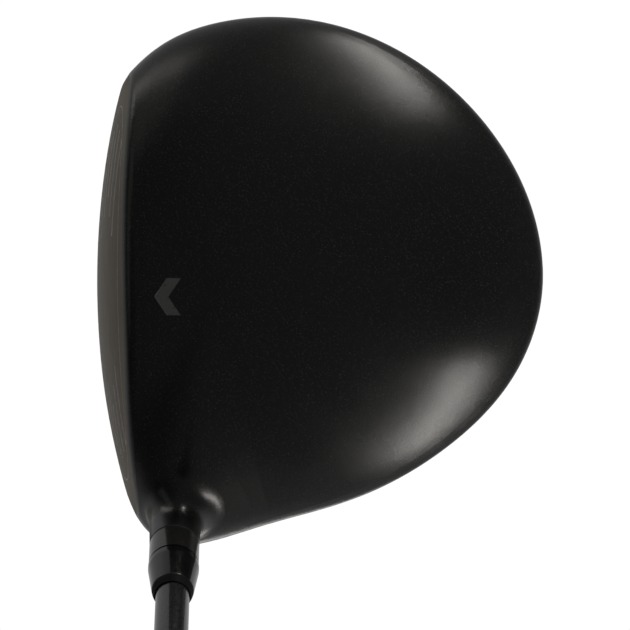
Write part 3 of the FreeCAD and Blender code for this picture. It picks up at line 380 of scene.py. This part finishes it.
def moulded_rubber(name, base, rough, grain=1400.0):
    """Matte rubber with a fine mould texture, and dust and skin oil in patches."""
    made = Finish(name, Specular_IOR_Level=0.35)
    texture = made.cells(grain)
    patches = made.noise(60.0, 5.0, 0.65)
    dust = made.ramp(patches, 0.45, 0.75, 0.0, 0.5)
    made.set(Base_Color=made.blend(dust, base, brighter(base, 2.4)),
             Roughness=made.ramp(patches, 0.3, 0.7, rough - 0.08, rough + 0.08))
    return made.bump(made.plus(texture, made.noise(grain * 3)), 0.03 * MM, 0.3 * MM).material


def crepe_tape(name):
    """Cream crepe paper with cross wrinkles and glue stains."""
    made = Finish(name, Specular_IOR_Level=0.2)
    wrinkles = made.noise(900.0, 4.0, 0.7, made.stretched((1.0, 1.0, 0.2)))
    stains = made.noise(70.0, 3.0)
    # painted shade: the wrinkles' hollows are painted darker and their crests lighter, from the same noise as their
    # bump
    painted_fold_shade = made.ramp(wrinkles, 0.3, 0.7, 0.0, 1.0)
    made.set(Base_Color=made.blend(painted_fold_shade, (0.55, 0.50, 0.38), (0.78, 0.74, 0.62)),
             Roughness=made.ramp(stains, 0.3, 0.7, 0.75, 0.95))
    return made.bump(wrinkles, 0.03 * MM).material


def tacky_glue(name):
    """Amber hot-melt with cloudy depth and caught grit."""
    made = Finish(name, Transmission_Weight=0.3, IOR=1.45)
    cloud = made.noise(240.0, 4.0)
    grit = made.ramp(made.cells(700.0), 0.04, 0.16, 1.0, 0.0)
    amber = made.blend(made.ramp(cloud, 0.3, 0.7, 0.0, 1.0), (0.48, 0.32, 0.10), (0.70, 0.55, 0.25))
    made.set(Base_Color=made.blend(made.times(grit, 0.6), amber, (0.10, 0.08, 0.06)),
             Roughness=made.ramp(cloud, 0.3, 0.7, 0.15, 0.35))
    return made.bump(cloud, 0.1 * MM).material


def film_grey(name):
    """Thin grey film: fine grain and a few dark scuffs."""
    made = Finish(name)
    grain = made.noise(2600.0, 3.0, 0.7)
    scuffs = made.ramp(made.noise(500.0, 4.0, 0.7), 0.55, 0.7, 0.0, 0.6)
    tone = made.blend(made.ramp(grain, 0.3, 0.7, 0.0, 1.0), (0.090, 0.089, 0.087), (0.130, 0.128, 0.125))
    made.set(Base_Color=made.blend(scuffs, tone, (0.030, 0.030, 0.030)),
             Roughness=made.ramp(grain, 0.3, 0.7, 0.5, 0.6))
    return made.bump(grain, 0.004 * MM).material


def dress(node_name, material):
    """Gives a CAD node its finish."""
    data = nodes[node_name].data
    data.materials.clear()
    data.materials.append(material)


# ---------------------------------------------------------------- measures of the CAD nodes


def mesh_points(node_name):
    """A CAD node's vertices as an array."""
    data = nodes[node_name].data
    flat = np.empty(len(data.vertices) * 3)
    data.vertices.foreach_get("co", flat)
    return flat.reshape(-1, 3)


def along_axis(points, origin, axis):
    """(height along the axis, radius from it) of each point."""
    rel = points - np.array(origin)
    heights = rel @ np.array(axis)
    radii = np.linalg.norm(rel - heights[:, None] * np.array(axis), axis=1)
    return heights, radii


# ---------------------------------------------------------------- finishes of the CAD nodes

shaft_axis = Vector(mounts["vent_hole"]["axis"])
shaft_point = Vector(mounts["vent_hole"]["pos_m"])

ferrule_top = along_axis(mesh_points("ferrule"), shaft_point, shaft_axis)[0].max()
ferrule_nose = shaft_point + shaft_axis * float(ferrule_top)

crown_black = satin_black("crown_satin_black", 0.0035, 0.25, False)
body_black = satin_black("body_satin_black", 0.0035, 0.25, True)
steel = turned_metal("turned_steel", (0.42, 0.42, 0.44), 0.30)
black_steel = turned_metal("black_oxide_steel", (0.055, 0.055, 0.06), 0.38)
dark_tow = (0.012, 0.012, 0.013)
# painted sheen: a lit copy of the dark tow's colour, for the tows on top
painted_lit_tow = (dark_tow[0] * 2.6, dark_tow[1] * 2.6, dark_tow[2] * 2.7)
weave = carbon_weave("clear_coated_weave", 2.0 * MM, dark_tow, painted_lit_tow, 0.9)
unbuffed_nose = (ferrule_nose, 5.7 * MM)

dress("crown_shell", crown_black)
dress("chassis", body_black)
dress("face_plate", brushed_metal("brushed_dark_face", FACE_TONE, 0.36, 1))
dress("sole_panel_toe", weave)
dress("sole_panel_heel", weave)
dress("rattle_glue", tacky_glue("amber_glue"))
dress("hosel_screw", black_steel)
dress("weight_screw", black_steel)
dress("hosel_washer", steel)
dress("weight_puck", steel)
dress("screw_retainer", polished_plastic("black_nylon", (0.02, 0.02, 0.02), 0.45, 0.0))
dress("loft_sleeve", speckled_anodise("speckled_sleeve", (0.045, 0.044, 0.043), (0.50, 0.47, 0.44)))
dress("ferrule", polished_plastic("polished_ferrule", (0.006, 0.006, 0.006), 0.16, 0.6, unbuffed_nose))
dress("shaft", wound_graphite("wound_graphite", (0.030, 0.030, 0.032), shaft_axis))
dress("tip_plug", turned_metal("turned_brass", (0.70, 0.52, 0.22), 0.28))
dress("grip_tape", crepe_tape("crepe_tape"))
dress("grip", moulded_rubber("grip_rubber_core", (0.028, 0.028, 0.028), 0.68))
dress("grip_cap", moulded_rubber("cap_rubber", (0.034, 0.034, 0.035), 0.6, 2200.0))
dress("weight_gasket", moulded_rubber("gasket_rubber", (0.03, 0.03, 0.03), 0.7, 2600.0))
dress("alignment_mark", polished_plastic("grey_film_core", (0.05, 0.05, 0.05), 0.5, 0.0))


# ---------------------------------------------------------------- meshes


def new_piece(name, points, faces, material, body):
    """A mesh piece that rides on a CAD body and carries a finish."""
    mesh = bpy.data.meshes.new(name)
    mesh.from_pydata([tuple(point) for point in points], [], faces)
    mesh.polygons.foreach_set("use_smooth", [True] * len(mesh.polygons))
    mesh.materials.append(material)
    piece = bpy.data.objects.new(name, mesh)
    bpy.context.collection.objects.link(piece)
    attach(piece, body)
    return piece


# ---------------------------------------------------------------- alignment mark


def surface_fit(points, degree=3):
    """A smooth height z(x, y) through points, by least squares, as a function of arrays in metres."""
    centre = points.mean(0)
    scale = 100.0
    powers = [(i, j) for i in range(degree + 1) for j in range(degree + 1 - i)]

    def terms(x, y):
        across, along = (x - centre[0]) * scale, (y - centre[1]) * scale
        return np.stack([across ** i * along ** j for i, j in powers], axis=-1)

    weights, *_ = np.linalg.lstsq(terms(points[:, 0], points[:, 1]), points[:, 2], rcond=None)
    return lambda x, y: terms(np.asarray(x), np.asarray(y)) @ weights


def alignment_mark():
    """The grey arrow head as a thin film laid on the crown's curve, with softened edges."""
    film = mesh_points("alignment_mark")
    low, high = film.min(0), film.max(0)
    thickness = 0.12 * MM
    top = surface_fit(film[np.argsort(film[:, 2])])
    middle_y = (low[1] + high[1]) / 2
    half = (high[1] - low[1]) / 2
    at_tip = film[np.abs(film[:, 1] - middle_y) < 0.05 * MM][:, 0]
    at_arm = film[np.abs(np.abs(film[:, 1] - middle_y) - half) < 0.05 * MM][:, 0]
    steps = 40
    rows = []
    for step in range(-steps, steps + 1):
        share = abs(step) / steps
        y = middle_y + half * step / steps
        front = at_tip.min() + (at_arm.min() - at_tip.min()) * share
        back = at_tip.max() + (at_arm.max() - at_tip.max()) * share
        rows.append([(front + (back - front) * part / 12, y) for part in range(13)])
    points = []
    for lift, inset in ((0.02 * MM, True), (-thickness, False)):
        for row in rows:
            for index, (x, y) in enumerate(row):
                edge = index in (0, 12) or row in (rows[0], rows[-1])
                points.append((x, y, float(top(x, y)) + lift - (0.03 * MM if edge and inset else 0.0)))
    width = 13
    count = len(rows) * width
    faces = []
    for i in range(len(rows) - 1):
        for j in range(width - 1):
            a = i * width + j
            quad = (a, a + 1, a + width + 1, a + width)
            faces.append(quad[::-1])
            faces.append(tuple(count + corner for corner in quad))
    rim = [i * width for i in range(len(rows))]
    rim += [(len(rows) - 1) * width + j for j in range(1, width)]
    rim += [i * width + width - 1 for i in range(len(rows) - 2, -1, -1)]
    rim += list(range(width - 2, 0, -1))
    for a, b in zip(rim, rim[1:] + rim[:1]):
        faces.append((a, b, count + b, count + a))
    mark = new_piece("mark_film", points, faces, film_grey("grey_mark_film"), "head")
    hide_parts("alignment_mark")


# ---------------------------------------------------------------- grip


def grip_profile():
    """The CAD grip about the shaft axis.

    Gives the heights and radii of its outside, then the radii of bore and recess and the height of the recess floor.
    """
    heights, radii = along_axis(mesh_points("grip"), shaft_point, shaft_axis)
    same_level = 0.02 * MM
    bore = float(radii.min())
    # the bore runs from the mouth up to the floor of the cap's recess
    recess_floor = float(heights[radii < bore + 0.1 * MM].max())
    recess = float(radii[heights > heights.max() - same_level].min())
    # the recess floor's vertices are all inside the grip, so they say nothing of its outside
    outline = heights[np.abs(heights - recess_floor) > same_level]
    levels = sorted({round(float(height), 5) for height in outline})
    outer = [float(radii[np.abs(heights - level) < same_level].max()) for level in levels]
    return levels, outer, bore, recess, recess_floor


def pressed_pattern(turn, height):
    """Depth of the moulded pattern, 0 to 1, at a turn in radians and a height in metres up the grip.

    Two families of shallow spiral grooves leave diamond lands, each with a dimple in it.
    """
    pitch = 2 * math.pi / 18
    lead = 2 * math.pi / (84 * MM)
    first = (turn + height * lead) / pitch
    second = (turn - height * lead) / pitch
    gap_a = np.abs(first - np.round(first))
    gap_b = np.abs(second - np.round(second))
    groove = np.clip(1 - np.minimum(gap_a, gap_b) / 0.13, 0, 1)
    middle_a = 0.5 - gap_a
    middle_b = 0.5 - gap_b
    dimple = np.clip(1 - np.hypot(middle_a, middle_b) / 0.17, 0, 1)
    return np.maximum(groove ** 0.7, 0.7 * dimple)


def grip():
    """The moulded grip: taper, mouth rings, diamond pattern in three fields, rolled end and the bore."""
    levels, outer, bore, recess, recess_floor = grip_profile()
    low, high = levels[0], levels[-1]
    field_low, field_high = low + 15 * MM, high - 17 * MM
    fields = 3
    band = 4.0 * MM
    around = 144
    fine = np.arange(low, high, 0.62 * MM)
    stations = np.unique(np.concatenate([fine, levels]))
    stations = stations[np.concatenate([[True], np.diff(stations) > 0.05 * MM])]
    turns = np.arange(around) * 2 * math.pi / around
    rows = []
    span = (field_high - field_low) / fields
    for station in stations:
        radius = np.interp(station, levels, outer)
        inside = (station - field_low) % span
        in_field = field_low < station < field_high
        edge = min(inside - band / 2, span - band / 2 - inside)
        fade = np.clip(edge / (1.0 * MM), 0, 1) if in_field else 0.0
        depth = 0.42 * MM * fade * pressed_pattern(turns, station - low)
        ring_mark = 0.0
        if in_field:
            ring_mark = 0.35 * MM * max(0.0, 1 - abs(min(inside, span - inside) - band / 2) / (0.5 * MM))
        rows.append((station, radius - depth - ring_mark))
    for station, radius in ((high, recess), (recess_floor, recess), (recess_floor, bore), (low, bore)):
        rows.append((station, np.full(around, radius)))
    side = shaft_axis.cross(Vector((1.0, 0.0, 0.0))).normalized()
    across = np.array(side.cross(shaft_axis))
    up = np.array(side)
    points = np.concatenate([
        np.array(shaft_point) + np.outer(np.full(around, station), np.array(shaft_axis))
        + np.outer(radius * np.cos(turns), across) + np.outer(radius * np.sin(turns), up)
        for station, radius in rows])
    faces = []
    count = len(rows)
    for i in range(count):
        base, above = i * around, ((i + 1) % count) * around
        for j in range(around):
            nxt = (j + 1) % around
            faces.append((base + j, base + nxt, above + nxt, above + j))
    rubber = moulded_rubber("grip_rubber", (0.026, 0.026, 0.027), 0.62)
    made = new_piece("grip_rubber", points, faces, rubber, "shaft_assembly")
    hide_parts("grip")
    made.data.set_sharp_from_angle(angle=math.radians(42))


alignment_mark()
grip()


# ---------------------------------------------------------------- studio

CAMERA_OVER = Vector((0.0259, -0.0046, 1.5))
BOX_DISTANCE = 3.0
ROOM_GLOW = 0.124
SWEEP_GLOW = 0.374
FRONT_SHADE = 0.09
UNDER_GLOW = 0.12
HEAD = Vector((0.025, 0.0, 0.04))
LAMP_COLOUR = (1.0, 0.972, 0.925)
WHITE_SEEN = 1.02
FLOOR_GIVEN = 0.10


def studio_light(name, azimuth, elevation, roll, size, power):
    """A soft box that looks at the head from a direction in degrees: azimuth from +X towards +Y."""
    turn, rise = math.radians(azimuth), math.radians(elevation)
    away = Vector((math.cos(turn) * math.cos(rise), math.sin(turn) * math.cos(rise), math.sin(rise)))
    data = bpy.data.lights.new(name, "AREA")
    data.shape = "RECTANGLE"
    data.size, data.size_y = size
    data.energy = power
    data.color = LAMP_COLOUR
    lamp = bpy.data.objects.new(name, data)
    lamp.location = HEAD + away * BOX_DISTANCE
    lamp.rotation_mode = "QUATERNION"
    facing = (-away).to_track_quat("-Z", "Y")
    lamp.rotation_quaternion = facing @ Quaternion((0.0, 0.0, 1.0), math.radians(roll))
    bpy.context.collection.objects.link(lamp)
    lamp.visible_camera = False


def grip_light(name, place, power):
    """A soft spot whose cone holds the grip and leaves the head as it is."""
    data = bpy.data.lights.new(name, "SPOT")
    data.energy = power
    data.shadow_soft_size = 0.12
    data.spot_size = math.radians(30)
    data.spot_blend = 0.6
    data.color = LAMP_COLOUR
    lamp = bpy.data.objects.new(name, data)
    lamp.location = place
    lamp.rotation_mode = "QUATERNION"
    low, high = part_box("grip")
    lamp.rotation_quaternion = ((low + high) / 2 - lamp.location).to_track_quat("-Z", "Y")
    bpy.context.collection.objects.link(lamp)


def floor_material(name, seen, given):
    """White to the camera and a dimmer glow to the object; from below the floor isn't seen."""
    material = bpy.data.materials.new(name)
    material.use_nodes = True
    tree = material.node_tree
    tree.nodes.clear()
    out = tree.nodes.new("ShaderNodeOutputMaterial")
    path = tree.nodes.new("ShaderNodeLightPath")
    glow = tree.nodes.new("ShaderNodeEmission")
    strength = tree.nodes.new("ShaderNodeMapRange")
    tree.links.new(path.outputs["Is Camera Ray"], strength.inputs["Value"])
    strength.inputs["To Min"].default_value = given
    strength.inputs["To Max"].default_value = seen
    tree.links.new(strength.outputs[0], glow.inputs["Strength"])
    clear = tree.nodes.new("ShaderNodeBsdfTransparent")
    side = tree.nodes.new("ShaderNodeNewGeometry")
    mix = tree.nodes.new("ShaderNodeMixShader")
    tree.links.new(side.outputs["Backfacing"], mix.inputs[0])
    tree.links.new(glow.outputs[0], mix.inputs[1])
    tree.links.new(clear.outputs[0], mix.inputs[2])
    tree.links.new(mix.outputs[0], out.inputs["Surface"])
    return material


def studio():
    reach = 60.0
    mesh = bpy.data.meshes.new("studio_floor")
    corners = [(-reach, -reach, 0.0), (reach, -reach, 0.0), (reach, reach, 0.0), (-reach, reach, 0.0)]
    mesh.from_pydata(corners, [], [(0, 1, 2, 3)])
    mesh.materials.append(floor_material("floor_white", WHITE_SEEN, FLOOR_GIVEN))
    floor = bpy.data.objects.new("studio_floor", mesh)
    floor.location.z = cad_low.z - 0.8 * MM
    bpy.context.collection.objects.link(floor)
    # the low boxes shine on the head from below the floor's level, as off a white sweep
    floor.visible_shadow = False
    floor.visible_glossy = False
    floor.visible_diffuse = False

    world = bpy.data.worlds.new("studio_air")
    world.use_nodes = True
    tree = world.node_tree
    tree.nodes.clear()
    out = tree.nodes.new("ShaderNodeOutputWorld")
    air = tree.nodes.new("ShaderNodeBackground")
    path = tree.nodes.new("ShaderNodeLightPath")
    # a dim room above, darker in front of the face, and a white sweep below, as the head mirrors them
    where = tree.nodes.new("ShaderNodeTexCoord")
    split = tree.nodes.new("ShaderNodeSeparateXYZ")
    tree.links.new(where.outputs["Generated"], split.inputs[0])
    ranges = (("Z", -0.4, 0.0, SWEEP_GLOW, ROOM_GLOW), ("X", -1.0, 0.0, -FRONT_SHADE, 0.0),
              ("Z", -1.0, -0.8, UNDER_GLOW, 0.0))
    given = None
    for axis, low, high, at_low, at_high in ranges:
        made = tree.nodes.new("ShaderNodeMapRange")
        tree.links.new(split.outputs[axis], made.inputs["Value"])
        for key, value in (("From Min", low), ("From Max", high), ("To Min", at_low), ("To Max", at_high)):
            made.inputs[key].default_value = value
        if given:
            added = tree.nodes.new("ShaderNodeMath")
            tree.links.new(given, added.inputs[0])
            tree.links.new(made.outputs[0], added.inputs[1])
            given = added.outputs[0]
        else:
            given = made.outputs[0]
    strength = tree.nodes.new("ShaderNodeMix")
    strength.data_type = "FLOAT"
    tree.links.new(path.outputs["Is Camera Ray"], strength.inputs[0])
    tree.links.new(given, strength.inputs[2])
    strength.inputs[3].default_value = WHITE_SEEN
    tree.links.new(strength.outputs[0], air.inputs["Strength"])
    air.inputs["Color"].default_value = (1.0, 1.0, 1.0, 1.0)
    tree.links.new(air.outputs[0], out.inputs["Surface"])
    bpy.context.scene.world = world

    studio_light("box_rear_heel", -48.0, 13.0, 39.0, (1.83, 0.42), 25.0)
    studio_light("box_rear_toe", 64.0, 8.5, -50.0, (1.53, 0.30), 23.0)
    studio_light("box_front_toe", 127.0, -5.0, -34.0, (2.64, 0.60), 6.5)
    studio_light("box_face", 152.0, 19.0, 0.0, (4.5, 1.14), 3.0)
    studio_light("card_heel", -88.0, -52.0, 0.0, (1.6, 0.8), 7.0)
    # both stand below the plane of the grip's flat end, which would mirror them at a grazing angle
    grip_light("spot_front", (-1.2, -0.47, 0.70), 70.0)
    grip_light("spot_rear", (1.2, -0.47, 0.70), 55.0)

    data = bpy.data.cameras.new("camera")
    data.sensor_width = 36.0
    data.lens = 327.7
    data.clip_start = 0.1
    data.clip_end = 200.0
    camera = bpy.data.objects.new("camera", data)
    camera.location = CAMERA_OVER
    bpy.context.collection.objects.link(camera)
    scene = bpy.context.scene
    scene.camera = camera
    scene.view_settings.view_transform = "Standard"


studio()
